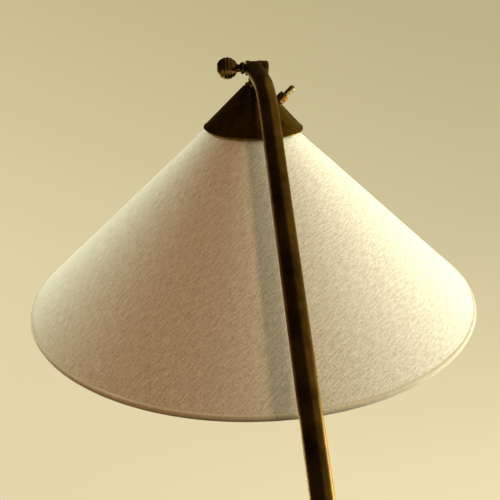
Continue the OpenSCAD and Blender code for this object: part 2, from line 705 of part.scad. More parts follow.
module switch_nut() color(steel) on_cap() translate([0, 0, -nut_seat - switch_nut_t])
    hex_nut(switch_nut_t, switch_nut_af, bush_thread_d + 2*fit_gap);

module switch_body() color("#2b2622") on_cap() translate([0, 0, terminal_z]) difference() {
    cylinder(h = switch_body_len, d = switch_body_d);
    translate([0, 0, switch_body_len + body_top - bush_thread_len - fit_gap])
        cylinder(h = 20, d = bush_thread_d + 2*fit_gap);
}

module switch_terminals() color("#b87333") on_cap() for (s = [-1, 1])
    translate([-0.4, s*wire_y - 1.25, terminal_z - terminal_len])
        cube([0.8, 2.5, terminal_len - fit_gap]);

module switch_leads() color("#8c2f22") on_head() rotate([0, 0, switch_turn]) for (s = [-1, 1])
    translate([wire_r(), s*wire_y, -holder_drop - holder_neck_h - holder_shoulder_h - 1])
        cylinder(h = wire_z() + holder_drop + holder_neck_h + holder_shoulder_h, d = wire_d, $fn = 24);

module switch_lever() color("#b9a06a") on_cap() translate([0, 0, lever_pivot_h])
    rotate([lever_tilt, 0, 0]) {
        sphere(d = lever_ball_d);
        translate([0, 0, -5]) cylinder(h = 5, d = 2.6);
        cylinder(h = lever_len - lever_d/2, d1 = lever_d - 1.2, d2 = lever_d);
        translate([0, 0, lever_len - lever_d/2]) sphere(d = lever_d);
    }

felt_pad();
base_weight();
base_cover();
inlet_bush();
stem_plug();
base_washer();
base_nut();
stem_collar();
stem();
stem_lead();
fork();
friction_washers();
end_nut();
clamp_screw();
clamp_bead();
clamp_knob();
pivot_eye();
cap_lock_nut();
cone_cap();
cap_washer();
cap_under_nut();
holder_shell();
holder_core();
holder_contacts();
holder_skirt();
holder_leads();
shade_rings();
shade_carrier();
hem_wire();
shade_cloth();
shade_liner();
top_binding();
hem_binding();
bulb_glass();
bulb_cap();
bulb_contact();
switch_bush();
switch_nut();
switch_body();
switch_terminals();
switch_leads();
switch_lever();
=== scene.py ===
"""Looks of the bridge floor lamp: a bent brass stem, a clamped knuckle, a brass cone cap
with a lever switch, and a wide linen cone. Lengths inside a class are millimetres in the
frame of that sub-assembly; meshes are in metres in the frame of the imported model."""
import logging
from collections.abc import Callable, Mapping, Sequence
from dataclasses import dataclass
from enum import Enum
from math import acos, atan, cos, degrees, hypot, pi, radians, sin, tan

import bpy
import numpy as np
from mathutils import Matrix


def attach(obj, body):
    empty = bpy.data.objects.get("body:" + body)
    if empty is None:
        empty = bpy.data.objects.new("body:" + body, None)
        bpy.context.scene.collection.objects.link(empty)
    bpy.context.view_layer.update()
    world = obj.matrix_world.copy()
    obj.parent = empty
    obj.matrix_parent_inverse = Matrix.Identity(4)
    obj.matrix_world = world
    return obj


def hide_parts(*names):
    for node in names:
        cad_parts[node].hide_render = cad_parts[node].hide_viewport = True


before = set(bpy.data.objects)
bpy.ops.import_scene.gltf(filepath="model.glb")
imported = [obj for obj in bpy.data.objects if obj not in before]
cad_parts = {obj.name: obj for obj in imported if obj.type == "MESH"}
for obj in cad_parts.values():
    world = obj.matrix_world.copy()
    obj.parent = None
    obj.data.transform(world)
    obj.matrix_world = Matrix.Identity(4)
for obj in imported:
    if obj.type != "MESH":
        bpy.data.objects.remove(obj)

Array = np.ndarray
Piece = bpy.types.Object
Socket = bpy.types.NodeSocket
Triple = tuple[float, float, float]
# One closed surface: its vertices, its faces, and one pattern place a face corner or None.
Skin = tuple[Array, list[tuple[int, ...]], Array | None]

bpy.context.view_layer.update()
MM = 0.001
log = logging.getLogger("lamp")


# --- Colour and nodes ---------------------------------------------------------------------

def linear(code: str) -> tuple[float, float, float, float]:
    """Turn an sRGB hex colour such as "#8a6a34" into linear light and an alpha of 1."""
    share = np.array([int(code[i:i + 2], 16) for i in (1, 3, 5)])/255
    light = np.where(share <= 0.04045, share/12.92, ((share + 0.055)/1.055)**2.4)
    return (*light.tolist(), 1.0)


@dataclass(frozen=True)
class Cloud:
    """A soft noise over a piece: how wide a patch is in millimetres, the same every way or
    along x, y and z, the noise values that become 0 and 1, and its octaves of finer noise."""

    grain: float | Triple
    low: float
    high: float
    detail: float = 3.0


class Nodes:
    """The node tree of one material or world, and the patterns that finishes share."""

    def __init__(self, owner: bpy.types.Material | bpy.types.World) -> None:
        """Start from an empty tree."""
        self.clouds: dict[Cloud, Socket] = {}
        owner.use_nodes = True
        self.tree = owner.node_tree
        self.tree.nodes.clear()

    def add(self, kind: str, feeds: Mapping[str | int, object] | None = None,
            **settings: object) -> bpy.types.Node:
        """Add one node.

        Args:
            kind: the node's type without its "ShaderNode" prefix.
            feeds: input name or number to a value, a hex colour, or the socket linked to it.
            settings: the node's own properties.
        """
        node = self.tree.nodes.new("ShaderNode" + kind)
        for name, value in settings.items():
            setattr(node, name, value)
        for name, value in (feeds or {}).items():
            if isinstance(value, Socket):
                self.tree.links.new(value, node.inputs[name])
            else:
                value = linear(value) if isinstance(value, str) else value
                node.inputs[name].default_value = value
        return node

    def out(self, kind: str, feeds: Mapping[str | int, object] | None = None,
            **settings: object) -> Socket:
        """Add one node as above, and return its first output."""
        return self.add(kind, feeds, **settings).outputs[0]

    def cloud(self, spot: Socket, what: Cloud) -> Socket:
        """Return a cloud at a place in metres, from 0 to 1. Asked for again, it is the same."""
        if what not in self.clouds:
            sizes = what.grain if isinstance(what.grain, tuple) else (what.grain,)*3
            scaled = self.out("Mapping", {0: spot, "Scale": tuple(1/(g*MM) for g in sizes)})
            noise = self.out("TexNoise", {"Vector": scaled, "Scale": 1.0, "Detail": what.detail,
                                          "Roughness": 0.6})
            self.clouds[what] = self.out("MapRange", {"Value": noise, "From Min": what.low,
                                                      "From Max": what.high})
        return self.clouds[what]

    def maths(self, how: str, *values: Socket | float) -> Socket:
        """Return numbers joined by an operation."""
        return self.out("Math", dict(enumerate(values)), operation=how)

    def mixed(self, share: Socket | float, first: Socket | str, second: Socket | str) -> Socket:
        """Return two colours mixed by a share."""
        return self.add("Mix", {0: share, 6: first, 7: second}, data_type="RGBA").outputs[2]

    def ranged(self, share: Socket, low: float, high: float) -> Socket:
        """Return a share from 0 to 1 stretched to run from low to high."""
        return self.out("MapRange", {"Value": share, "To Min": low, "To Max": high})

    def raised(self, height: Socket, depth: float) -> Socket:
        """Return the surface's normal, raised by a height of so many millimetres at 1."""
        return self.out("Bump", {"Height": height, "Distance": depth*MM, "Strength": 1.0})

    def glowing(self, share: float, body: Socket, glow: Mapping[str, object]) -> Socket:
        """Return a surface that lets a share of the light through, scattered."""
        through = self.out("BsdfTranslucent", glow)
        return self.out("MixShader", {0: share, 1: body, 2: through})


# --- Frames of the lamp ------------------------------------------------------------------

def shift(x: float, y: float, z: float) -> Array:
    """Return the 4 x 4 matrix that moves by x, y, z."""
    move = np.eye(4)
    move[:3, 3] = (x, y, z)
    return move


def turn(axis: str, angle: float) -> Array:
    """Return the 4 x 4 matrix that turns by an angle in degrees about "X", "Y" or "Z"."""
    return np.array(Matrix.Rotation(radians(angle), 4, axis))


@dataclass(frozen=True)
class Stance:
    """Where the lamp's sub-assemblies stand: the same named sizes as the part's source."""

    pin: Triple = (0.0, 318.0993, 1380.0)
    nose_angle: float = 55.0
    shade_tilt: float = 31.5
    shade_shift: float = 4.0
    shade_askew: float = 1.5
    shade_drop: float = 50.5

    def head(self) -> Array:
        """Return the head's frame: the pin's middle, with -Z along the shade's axis."""
        return shift(*self.pin) @ turn("X", self.shade_tilt)

    def seat(self) -> Array:
        """Return the linen cone's frame: the centre of its top edge."""
        return (self.head() @ shift(-self.shade_shift, 0, -self.shade_drop)
                @ turn("Y", -self.shade_askew))

    def fork(self) -> Array:
        """Return the fork's frame: +Z runs on along the stem's last straight."""
        return shift(*self.pin) @ turn("X", -self.nose_angle)

    def pin_left(self, along: float) -> Array:
        """Return a frame so far along the pin, with +Z to the left, where the knob is."""
        return shift(*self.pin) @ turn("Y", -90) @ shift(0, 0, along)

    def pin_right(self, along: float) -> Array:
        """Return a frame so far along the pin, with +Z to the right, where the nut is."""
        return shift(*self.pin) @ turn("Y", 90) @ shift(0, 0, along)


STANCE = Stance()


# --- Surfaces ----------------------------------------------------------------------------

def place(points: Array, where: Array) -> Array:
    """Carry points in millimetres into a 4 x 4 frame, and into metres."""
    return (points @ where[:3, :3].T + where[:3, 3])*MM


def skin(rows: Array, uv: Array | None = None, looped: bool = False) -> Skin:
    """Join a grid of points into faces that face outwards.

    The grid's columns always close on themselves. Its rows close on themselves when looped;
    otherwise the first and last rows are shut by a fan to their middle, which closes a pole
    that has shrunk to a point as well as a flat end.

    Args:
        rows: points, shape (m, n, 3).
        uv: places on the flat pattern of a looped grid, shape (m + 1, n + 1, 2), or None.
        looped: whether the last row meets the first.
    """
    m, n = rows.shape[:2]
    i, j = np.meshgrid(np.arange(m if looped else m - 1), np.arange(n), indexing="ij")
    i2, j2 = i + 1, j + 1
    spots = ((i, j), (i, j2), (i2, j2), (i2, j))
    quads = np.stack([(a % m)*n + b % n for a, b in spots], -1).reshape(-1, 4)
    corners = None if uv is None else np.stack([uv[a, b] for a, b in spots], 2).reshape(-1, 4, 2)
    points = rows.reshape(-1, 3)
    faces = [tuple(f) for f in quads.tolist()]
    if not looped:
        points = np.vstack([points, rows[0].mean(0), rows[-1].mean(0)])
        k = np.arange(n)
        k2 = (k + 1) % n
        first, last = m*n, m*n + 1
        fans = np.vstack([np.stack([k2, k, np.full(n, first)], 1),
                          np.stack([(m - 1)*n + k, (m - 1)*n + k2, np.full(n, last)], 1)])
        faces += [tuple(f) for f in fans.tolist()]
    a, b, c, d = (points[quads[:, q]] for q in range(4))
    from_middle = a - points.mean(0)
    volume = sum(np.einsum("ij,ij->i", np.cross(p - a, q - a), from_middle).sum()
                 for p, q in ((b, c), (c, d)))
    if volume < 0:
        faces = [f[::-1] for f in faces]
        corners = None if corners is None else corners[:, ::-1]
    return points, faces, None if corners is None else corners.reshape(-1, 2)


def eased(corners: Sequence[tuple[float, float]], ease: float, closed: bool = True,
          steps: int = 5) -> Array:
    """Round the corners of a profile.

    Each corner P is replaced by the curve (1-t)^2 A + 2t(1-t) P + t^2 B, where A and B lie at
    the ease from P along its two sides, or at 0.45 of a side that is short.

    Args:
        corners: points of the profile in millimetres.
        ease: how far the rounding reaches.
        closed: whether the profile closes on itself.
        steps: points a corner.
    """
    p = np.asarray(corners, float)
    back, ahead = np.roll(p, 1, 0) - p, np.roll(p, -1, 0) - p
    near, far = (p + np.minimum(ease/np.maximum(np.linalg.norm(v, axis=1), 1e-9), 0.45)[:, None]*v
                 for v in (back, ahead))
    t = np.linspace(0, 1, steps)[None, :, None]
    arcs = (1 - t)**2*near[:, None] + 2*t*(1 - t)*p[:, None] + t**2*far[:, None]
    if closed:
        return arcs.reshape(-1, 2)
    return np.vstack([p[:1], arcs[1:-1].reshape(-1, 2), p[-1:]])


def turned(profile: Array, where: Array, closed: bool = True, around: int = 128,
           ripple: Callable[[Array, Array, Array], Array] | None = None) -> Skin:
    """Turn a profile round an axis, as on a lathe.

    A point is (r cos a, r sin a, z) for every point (r, z) of the profile and every angle a.

    Args:
        profile: radius and height, shape (k, 2); its ends are on the axis unless closed.
        where: frame whose Z is the axis.
        closed: whether the profile is a closed loop, as for a ring or a tube.
        around: columns round the axis.
        ripple: gives the radius from radius, angle and height, for waves or threads.
    """
    a = np.linspace(0, 2*pi, around, endpoint=False)[None, :]
    r, z = profile[:, :1] + 0*a, profile[:, 1:] + 0*a
    if ripple is not None:
        r = ripple(r, a + 0*r, z)
    return skin(place(np.stack([r*np.cos(a), r*np.sin(a), z], -1), where), looped=closed)


def threaded(depth: float, pitch: float, low: float, high: float,
             over: float) -> Callable[[Array, Array, Array], Array]:
    """Return a ripple for turned: a wave that climbs one pitch a turn, from the height low to
    high, wherever the radius is over a limit."""
    def cut(r: Array, a: Array, z: Array) -> Array:
        wave = depth*(0.5 - 0.5*np.cos(2*pi*z/pitch - a))
        return np.where((r > over) & (z > low) & (z < high), r - wave, r)
    return cut


def make(name: str, shapes: Sequence[Skin], body: str, replaced: Sequence[str],
         finish: "Finish", crease: float = 35.0) -> Piece:
    """Make one piece from closed skins, and hang it in the frame.

    Args:
        name: the piece's name.
        shapes: its closed skins.
        body: the CAD body that it rides on.
        replaced: CAD nodes that it stands for.
        finish: what it is made of.
        crease: edges that turn by more than this many degrees stay sharp.
    """
    mesh = bpy.data.meshes.new(name)
    starts = np.cumsum([0] + [len(s[0]) for s in shapes])
    faces = [tuple(v + k for v in f) for s, k in zip(shapes, starts.tolist()) for f in s[1]]
    mesh.from_pydata(np.vstack([s[0] for s in shapes]).tolist(), [], faces)
    if shapes[0][2] is not None:
        layer = mesh.uv_layers.new(name="pattern")
        layer.data.foreach_set("uv", np.vstack([s[2] for s in shapes]).ravel())
    mesh.validate()
    mesh.polygons.foreach_set("use_smooth", np.ones(len(mesh.polygons), bool))
    mesh.set_sharp_from_angle(angle=radians(crease))
    mesh.materials.append(finish.material())
    piece = bpy.data.objects.new(name, mesh)
    bpy.context.scene.collection.objects.link(piece)
    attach(piece, body)
    if replaced:
        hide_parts(*replaced)
    log.info("%s: %d faces, %s, stands for %s", name, len(mesh.polygons), finish.name,
             ", ".join(replaced) or "nothing")
    return piece


def dress(name: str, finish: "Finish") -> None:
    """Give a CAD node a finish, with its mesh left as it is."""
    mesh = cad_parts[name].data
    mesh.materials.clear()
    mesh.materials.append(finish.material())
    log.info("%s: kept from the CAD model, %s", name, finish.name)


# --- Finishes ----------------------------------------------------------------------------

class Lie(Enum):
    """How a pattern lies on a piece: which coordinates its nodes read."""

    PLAIN = "object"
    HEAD = "head"
    FORK = "fork"
    PATTERN = "uv"


@dataclass(frozen=True)
class Finish:
    """A finish: what a piece is made of and how its surface was made."""

    name: str
    lie: Lie = Lie.PLAIN

    def where(self, nodes: Nodes) -> Socket:
        """Return the coordinates of the pattern in metres, turned to lie along the piece."""
        if self.lie is Lie.PATTERN:
            return nodes.out("UVMap", uv_map="pattern")
        spot = nodes.add("TexCoord").outputs["Object"]
        if self.lie is Lie.PLAIN:
            return spot
        home = np.linalg.inv(STANCE.head() if self.lie is Lie.HEAD else STANCE.fork())
        angles = Matrix(home[:3, :3].tolist()).to_euler()
        return nodes.out("Mapping", {0: spot, "Location": tuple(home[:3, 3]*MM),
                                     "Rotation": angles})

    def shade(self, nodes: Nodes, spot: Socket) -> Socket:
        """Return the surface's shader at the pattern's place; each finish has its own."""
        raise NotImplementedError

    def material(self) -> bpy.types.Material:
        """Return this finish's material, made the first time it is asked for."""
        made = bpy.data.materials.get(self.name)
        if made is None:
            made = bpy.data.materials.new(self.name)
            nodes = Nodes(made)
            nodes.add("OutputMaterial", {"Surface": self.shade(nodes, self.where(nodes))})
        return made


@dataclass(frozen=True, kw_only=True)
class Clouded(Finish):
    """A finish of one colour under clouds of others.

    Attributes:
        base: its colour.
        veils: each cloud over it, with its share where it is thickest, and its colour.
        shine: the cloud that the roughness follows, and the roughness at its 0 and its 1.
        relief: the cloud that raises the surface, and by how many millimetres.
        inputs: the shader's other inputs.
        through: the share of light that goes through, scattered.
    """

    base: str
    veils: tuple[tuple[Cloud, float, str], ...]
    shine: tuple[Cloud, float, float]
    relief: tuple[Cloud, float] | None = None
    inputs: Mapping[str, object]
    through: float = 0.0

    def shade(self, nodes: Nodes, spot: Socket) -> Socket:
        """Return the clouded surface."""
        colour = self.base
        for cloud, most, tone in self.veils:
            share = nodes.cloud(spot, cloud)
            share = share if most == 1 else nodes.ranged(share, 0.0, most)
            colour = nodes.mixed(share, colour, tone)
        cloud, smooth, rough = self.shine
        feeds = {"Base Color": colour, **self.inputs,
                 "Roughness": nodes.ranged(nodes.cloud(spot, cloud), smooth, rough)}
        if self.relief:
            cloud, depth = self.relief
            feeds["Normal"] = nodes.raised(nodes.cloud(spot, cloud), depth)
        body = nodes.out("BsdfPrincipled", feeds)
        return nodes.glowing(self.through, body, {"Color": colour}) if self.through else body


# A metal's edge turns white where it is seen along the surface. Wax and lacquer keep it warm.
WAXED_METAL = {"Metallic": 1.0, "Specular Tint": "#f0e6c8"}


def aged_brass(name: str, lie: Lie = Lie.PLAIN, bright: str = "#785a24", dark: str = "#3e2c11",
               marks: float | Triple = 0.9, patch: float = 22.0, smooth: float = 0.24,
               rough: float = 0.38) -> Clouded:
    """Return drawn or turned brass, darkened by age and waxed.

    The eye sees a deep brown metal that turns golden where it catches light, faint polishing
    marks along its length, and cloudy darker patches a centimetre or two across, a little
    rougher. The marks are 0.1 mm apart on the real tube; 0.9 mm is as fine as a render shows.
    """
    patina, lines = Cloud(patch, 0.34, 0.68), Cloud(marks, 0.35, 0.65, 2.0)
    grime = Cloud(3.0, 0.62, 0.78, 4.0)
    return Clouded(name, lie, base=bright, shine=(patina, smooth, rough), relief=(lines, 0.02),
                   veils=((patina, 1.0, dark), (lines, 0.22, dark), (grime, 0.5, "#241a10")),
                   inputs=WAXED_METAL)


def spun_brass(name: str, bright: str = "#765718", dark: str = "#3c2b0b",
               ring: float = 1.1) -> Clouded:
    """Return brass sheet spun over a former, lacquered and aged.

    The eye sees fine rings round the axis from the spinning tool, a warm golden brown, and
    darker clouds where the lacquer has gone. The rings are about 0.4 mm apart; they are drawn
    1.1 mm apart so that they show, and so wide across the axis that they close.
    """
    rings, clouds = Cloud((600.0, 600.0, ring), 0.3, 0.7, 2.0), Cloud(16.0, 0.36, 0.7, 4.0)
    return Clouded(name, Lie.HEAD, base=bright, shine=(clouds, 0.22, 0.36), relief=(rings, 0.03),
                   veils=((clouds, 1.0, dark), (rings, 0.16, "#2e2010")), inputs=WAXED_METAL)


def plated(name: str, metal: str, dull: str) -> Clouded:
    """Return zinc-plated mild steel, or another bare metal of the fittings.

    The eye sees a pale or coloured metal with a faint spangle and dull finger marks.
    """
    marks, spangle = Cloud(7.0, 0.35, 0.7, 4.0), Cloud(0.9, 0.35, 0.7, 1.0)
    return Clouded(name, base=metal, veils=((marks, 0.7, dull),), shine=(marks, 0.26, 0.42),
                   relief=(spangle, 0.01), inputs={"Metallic": 1.0})


def moulding(name: str, tone: str, second: str, grain: float = 6.0, smooth: float = 0.3,
             rough: float = 0.45, index: float = 1.5, depth: float = 0.015) -> Clouded:
    """Return a moulded, fired or extruded non-metal of the fittings.

    The eye sees one even colour with a slight mottle and a fine orange peel, and a shine set
    by its surface.
    """
    mottle, peel = Cloud(grain, 0.35, 0.7), Cloud(0.9, 0.3, 0.7, 1.0)
    return Clouded(name, base=tone, veils=((mottle, 1.0, second),), relief=(peel, depth),
                   shine=(mottle, smooth, rough), inputs={"IOR": index})


def cast_iron(name: str) -> Clouded:
    """Return sand-cast iron under black paint.

    The eye sees a nearly black, pebbled surface with a weak satin shine and specks of rust.
    """
    sand, rust = Cloud(1.5, 0.3, 0.7), Cloud(9.0, 0.6, 0.75, 4.0)
    return Clouded(name, base="#26262a", veils=((rust, 0.6, "#4a2f1e"),), relief=(sand, 0.25),
                   shine=(sand, 0.45, 0.65), inputs={"IOR": 1.5})


def shade_film(name: str) -> Clouded:
    """Return white lampshade film, as behind the linen.

    The eye sees a smooth, slightly satin white that scatters light and lets some through.
    """
    haze, tooth = Cloud((40.0, 40.0, 1.0), 0.3, 0.7), Cloud((0.8, 0.8, 1.0), 0.3, 0.7, 2.0)
    return Clouded(name, Lie.PATTERN, base="#f1ece0", veils=((haze, 0.5, "#e6dcc6"),),
                   shine=(haze, 0.42, 0.55), relief=(tooth, 0.02), inputs={"IOR": 1.5},
                   through=0.30)


def opal_glass(name: str) -> Clouded:
    """Return blown glass with a white coat inside, as on a soft white bulb.

    The eye sees a milky white ball with a clear glassy highlight.
    """
    milk = Cloud(14.0, 0.3, 0.7, 2.0)
    return Clouded(name, base="#f6f2e8", veils=((milk, 1.0, "#ece6d8"),),
                   shine=(milk, 0.5, 0.5), through=0.35,
                   inputs={"IOR": 1.52, "Coat Weight": 1.0, "Coat Roughness": 0.03})


@dataclass(frozen=True)
class Linen(Finish):
    """Natural linen in plain weave, laminated flat.

    The eye sees a warm cream cloth crossed by slubs: short thicker stretches of yarn, lighter
    or darker than the rest, most of them along the weft. Light glows through it a little.
    """

    lie: Lie = Lie.PATTERN
    pale: str = "#ece6d6"
    deep: str = "#c2b69b"
    # Yarn is 0.6 mm apart; 1.3 mm is as fine as it shows at the photograph's distance.
    yarn: float = 1.3
    slub: float = 9.0
    through: float = 0.30

    def shade(self, nodes: Nodes, spot: Socket) -> Socket:
        """Return a matt cloth with a share of light let through.

        The yarns are weft + 0.5 warp + 1.3 fine, where fine is a tangle as wide as it is long.
        """
        warp = nodes.cloud(spot, Cloud((self.yarn*1.1, self.slub*0.4, 1.0), 0.34, 0.66, 2.0))
        weft = nodes.cloud(spot, Cloud((self.slub, self.yarn*1.3, 1.0), 0.36, 0.64))
        fine = nodes.cloud(spot, Cloud((self.yarn*1.2, self.yarn*1.2, 1.0), 0.32, 0.68))
        wide = nodes.cloud(spot, Cloud((60.0, 60.0, 1.0), 0.3, 0.7, 2.0))
        cross = nodes.maths("MULTIPLY_ADD", warp, 0.5, weft)
        cross = nodes.maths("MULTIPLY_ADD", fine, 1.3, cross)
        yarns = nodes.out("MapRange", {"Value": cross, "From Min": 0.5, "From Max": 2.2})
        cream = nodes.mixed(yarns, self.deep, self.pale)
        cream = nodes.mixed(nodes.ranged(wide, 0.0, 0.2), cream, "#ddd2bd")
        normal = nodes.raised(yarns, 0.1)
        cloth = nodes.out("BsdfPrincipled", {
            "Base Color": cream, "Roughness": 0.88, "IOR": 1.46, "Sheen Weight": 0.15,
            "Sheen Roughness": 0.5, "Specular IOR Level": 0.2, "Normal": normal})
        return nodes.glowing(self.through, cloth, {"Color": cream, "Normal": normal})


@dataclass(frozen=True)
class WoolFelt(Finish):
    """Pressed wool felt.

    The eye sees a matt green cloth without a weave: tangled fibres and a soft halo. The
    fibres are drawn 0.8 mm wide so that they show.
    """

    def shade(self, nodes: Nodes, spot: Socket) -> Socket:
        """Return a fuzzy cloth whose fibres lie both ways."""
        tangle = nodes.maths("MULTIPLY", nodes.cloud(spot, Cloud((0.8, 3.0, 0.8), 0.3, 0.7)),
                             nodes.cloud(spot, Cloud((3.0, 0.8, 0.8), 0.3, 0.7)))
        return nodes.out("BsdfPrincipled", {
            "Base Color": nodes.mixed(tangle, "#3c4a3b", "#5b6955"), "Roughness": 0.95,
            "Sheen Weight": 0.5, "Sheen Roughness": 0.4, "Specular IOR Level": 0.15,
            "Normal": nodes.raised(tangle, 0.3)})


TUBE_BRASS = aged_brass("aged brass tube, polished along", Lie.PATTERN, marks=(34.0, 0.9, 1.0),
                        patch=26.0)
TURNED_BRASS = aged_brass("aged brass, turned", marks=(0.9, 6.0, 6.0), patch=7.0, smooth=0.28,
                          rough=0.42)
KNOB_BRASS = aged_brass("aged brass, turned knob", bright="#735722", dark="#3b2a10", marks=6.0,
                        patch=9.0, smooth=0.26)
FORK_BRASS = aged_brass("aged brass, filed block", Lie.FORK, marks=(0.9, 0.9, 8.0), patch=9.0,
                        smooth=0.3, rough=0.44)
NUT_BRASS = aged_brass("aged brass nut", Lie.HEAD, marks=(1.2, 1.2, 0.8), patch=6.0, smooth=0.3,
                       rough=0.45)
FOOT_BRASS = aged_brass("aged brass, spun foot", marks=1.4, patch=38.0, smooth=0.26, rough=0.4)
PLUG_BRASS = aged_brass("brass bar, machined", bright="#a5803f", dark="#6b4f24", patch=8.0)
SWITCH_BRASS = aged_brass("lacquered brass, switch collar", Lie.HEAD, bright="#a07a3a",
                          dark="#6a4c22", patch=5.0, rough=0.36)
LEVER_BRASS = aged_brass("lacquered brass, switch lever", Lie.HEAD, bright="#b3a27a",
                         dark="#8b7b57", patch=6.0, smooth=0.2, rough=0.3)
CAP_BRASS = spun_brass("aged brass, spun cap")
HOLDER_BRASS = spun_brass("lacquered brass, lampholder", "#b8954f", "#8a6a34", 0.9)
ZINC = plated("zinc plated steel", "#a3a4a3", "#74736f")
COPPER = plated("phosphor bronze", "#b9784c", "#8a5636")
LINEN = Linen("natural linen, plain weave")
# The tape is the same linen with darker colours and little light let through. This is painted
# shade for the shade along the underside of the hem's rolled edge.
SHADED_TAPE = Linen("linen tape darkened as painted shade", pale="#c6ba9c", deep="#a3977a", yarn=1.0, slub=6.0,
             through=0.02)
FILM = shade_film("white lampshade film")
IRON = cast_iron("cast iron, black paint")
FELT = WoolFelt("pressed wool felt")
OPAL = opal_glass("opal glass")
RUBBER = moulding("natural rubber, black", "#201f1d", "#2b2a27", smooth=0.6, rough=0.75,
                  index=1.52)
PORCELAIN = moulding("glazed porcelain", "#efece2", "#e4dfd1", smooth=0.08, rough=0.16,
                     index=1.54)
SLEEVE, RED_SLEEVE = (
    moulding(f"cotton sleeving, {name}", tone, second, 1.2, 0.8, 0.9, depth=0.12)
    for name, tone, second in (("brown", "#2b2622", "#3a332c"), ("red", "#7d2c20", "#943d2c")))
FIBRE = moulding("vulcanised fibre", "#6b2e22", "#7d3a2b", 2.0, 0.5, 0.65)
BAKELITE = moulding("phenolic moulding, dark brown", "#2a2420", "#362c25", smooth=0.25,
                    rough=0.4, index=1.6)
VITRITE = moulding("black glass insulator", "#141416", "#1d1c20", smooth=0.08, rough=0.14,
                   index=1.52)

# The CAD nodes that keep their own meshes, by what they are made of.
KEPT = (
    (FOOT_BRASS, ["base_cover"]), (CAP_BRASS, ["cone_cap"]), (NUT_BRASS, ["cap_lock_nut"]),
    (FORK_BRASS, ["fork", "pivot_eye"]), (PLUG_BRASS, ["stem_plug", "clamp_screw"]),
    (HOLDER_BRASS, ["holder_shell"]), (COPPER, ["switch_terminals", "holder_contacts"]),
    (ZINC, ["base_washer", "base_nut", "cap_washer", "cap_under_nut", "switch_nut", "bulb_cap",
           "shade_carrier", "hem_wire"]),
    (IRON, ["base_weight"]), (RUBBER, ["inlet_bush"]), (FIBRE, ["friction_washers"]),
    (BAKELITE, ["switch_body"]), (PORCELAIN, ["holder_core"]), (VITRITE, ["bulb_contact"]),
    (SLEEVE, ["stem_lead"]), (RED_SLEEVE, ["switch_leads", "holder_leads"]))


# --- Foot --------------------------------------------------------------------------------

@dataclass(frozen=True)
class Foot:
    """The weighted foot: felt, iron, spun cover, trim ring, and the bush for a lead."""

    felt_r: float = 136.3
    felt_t: float = 3.0
    felt_wave: float = 0.15
    cover_top: float = 31.35
    collar_d: float = 34.0
    collar_h: float = 9.0
    stem_d: float = 16.0

    def felt(self) -> Piece:
        """Return the felt: a disc whose edge is soft and waves a little."""
        r, t = self.felt_r, self.felt_t
        edge = eased([(0, 0), (r, 0), (r, t), (0, t)], 0.8, closed=False)

        def soft(rad: Array, a: Array, z: Array) -> Array:
            wave = self.felt_wave*(1 + np.sin(37*a)*np.sin(11*a + 1))
            return np.where(rad > r - 3, rad - wave, rad)

        return make("felt_disc", [turned(edge, np.eye(4), False, 256, soft)], "stand",
                    ["felt_pad"], FELT)

    def collar(self) -> Piece:
        """Return the trim ring: a flat flange, a hollow curve, and a rounded top lip."""
        r, top, bore = self.collar_d/2, self.collar_h, self.stem_d/2 + 0.05
        t = np.linspace(0, 1, 14)*pi/2
        sweep = np.stack([r - 1.6 - 3.9*np.sin(t), 3.1 + (top - 4.6)*(1 - np.cos(t))], 1)
        flange = eased([(bore, 0), (r, 0), (r, 2.2), (r - 1.6, 3.1)], 0.6, False)
        lip = eased([tuple(sweep[-1]), (r - 5.8, top), (bore, top)], 0.5, False)
        outline = np.vstack([flange, sweep[1:], lip[1:]])
        return make("trim_ring", [turned(outline, shift(0, 0, self.cover_top))], "stand",
                    ["stem_collar"], TURNED_BRASS)

    def build(self) -> None:
        """Make the foot's turned pieces."""
        self.felt()
        self.collar()


# --- Stem --------------------------------------------------------------------------------

